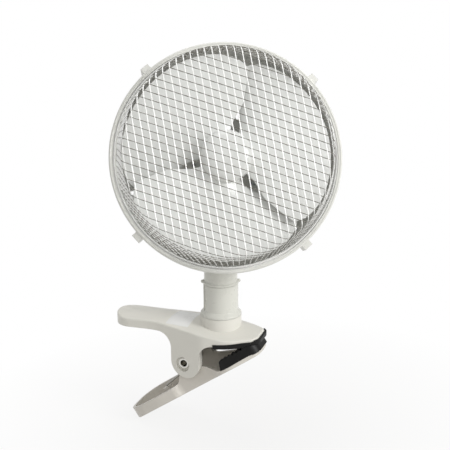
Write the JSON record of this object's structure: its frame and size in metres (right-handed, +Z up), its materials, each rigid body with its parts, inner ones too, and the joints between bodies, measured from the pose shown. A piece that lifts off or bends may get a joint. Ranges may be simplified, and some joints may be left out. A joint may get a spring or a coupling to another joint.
{
  "type": "clip fan",
  "caption": "Small desk fan with a round mesh-fronted head that tilts and swivels on a short column above a sprung two-jaw clip.",
  "frame": {"origin": "middle of the grip line where the two jaw pads meet", "axes": "+X out past the jaw tips, +Z up along the column, Y along the jaws' pivot"},
  "size_m": [0.1979, 0.1569, 0.3317],
  "materials": {
    "shell_plastic": "warm light grey moulded plastic with a soft sheen",
    "column_plastic": "smooth off-white moulded plastic",
    "guard_plastic": "smooth off-white moulded plastic",
    "blade_plastic": "translucent-looking white moulded plastic",
    "mesh_enamel": "glossy white enamel over steel mesh",
    "pad_rubber": "black moulded rubber",
    "rivet_metal": "bright plated steel",
    "spring_steel": "plated spring wire",
    "label_film": "blank printed film",
    "zinc_steel": "zinc plated steel",
    "shaft_steel": "ground steel",
    "core_steel": "stacked steel laminations",
    "winding_enamel": "enamelled copper winding",
    "bush_bronze": "sintered bronze",
    "switch_plastic": "black moulded plastic",
    "gland_rubber": "off-white rubber"
  },
  "bodies": {
    "clip": {"upper_jaw": "shell_plastic", "upper_pad": "pad_rubber", "pivot_rivet": "rivet_metal", "torsion_spring": "spring_steel", "lever_label": "label_film"},
    "lower_arm": {"lower_jaw": "shell_plastic", "lower_pad": "pad_rubber"},
    "column": {"stem": "column_plastic", "stem_washer": "zinc_steel", "stem_screw": "zinc_steel", "neck_socket": "column_plastic", "tilt_bolt": "zinc_steel", "tilt_nut": "zinc_steel"},
    "head": {"retaining_ring": "guard_plastic", "front_grille": "mesh_enamel", "rear_guard": "guard_plastic", "motor_core": "core_steel", "field_winding": "winding_enamel", "front_bracket": "zinc_steel", "rear_bracket": "zinc_steel", "motor_bushes": "bush_bronze", "motor_screws": "zinc_steel", "motor_cover": "guard_plastic", "cover_screws": "zinc_steel", "switch_body": "switch_plastic", "cable_gland": "gland_rubber"},
    "fan_wheel": {"impeller": "blade_plastic", "motor_shaft": "shaft_steel", "rotor": "core_steel"},
    "rocker": {"switch_rocker": "switch_plastic"}
  },
  "joints": [
    {"name": "jaw_open", "type": "hinge", "parent": "clip", "child": "lower_arm", "pos_m": [-0.06, 0, -0.0231], "axis": [0, 1, 0], "range_deg": [0, 30], "stiffness_Nm_per_rad": 2, "springref_deg": -28.65, "deforming": ["torsion_spring"]},
    {"name": "head_pan", "type": "hinge", "parent": "clip", "child": "column", "pos_m": [-0.033, 0, 0.0184], "axis": [0, 0, 1], "range_deg": [-90, 90]},
    {"name": "head_tilt", "type": "hinge", "parent": "column", "child": "head", "pos_m": [-0.033, 0, 0.0949], "axis": [-0.9205, -0.3907, 0], "range_deg": [-18, 40]},
    {"name": "impeller_spin", "type": "hinge", "parent": "head", "child": "fan_wheel", "pos_m": [-0.01824, -0.02633, 0.1582], "axis": [0.3694, -0.8704, 0.3256], "continuous": true},
    {"name": "switch_turn", "type": "hinge", "parent": "head", "child": "rocker", "pos_m": [-0.05182, 0.05278, 0.14976], "axis": [0.1272, -0.2997, -0.9455], "range_deg": [-14, 0]}
  ]
}
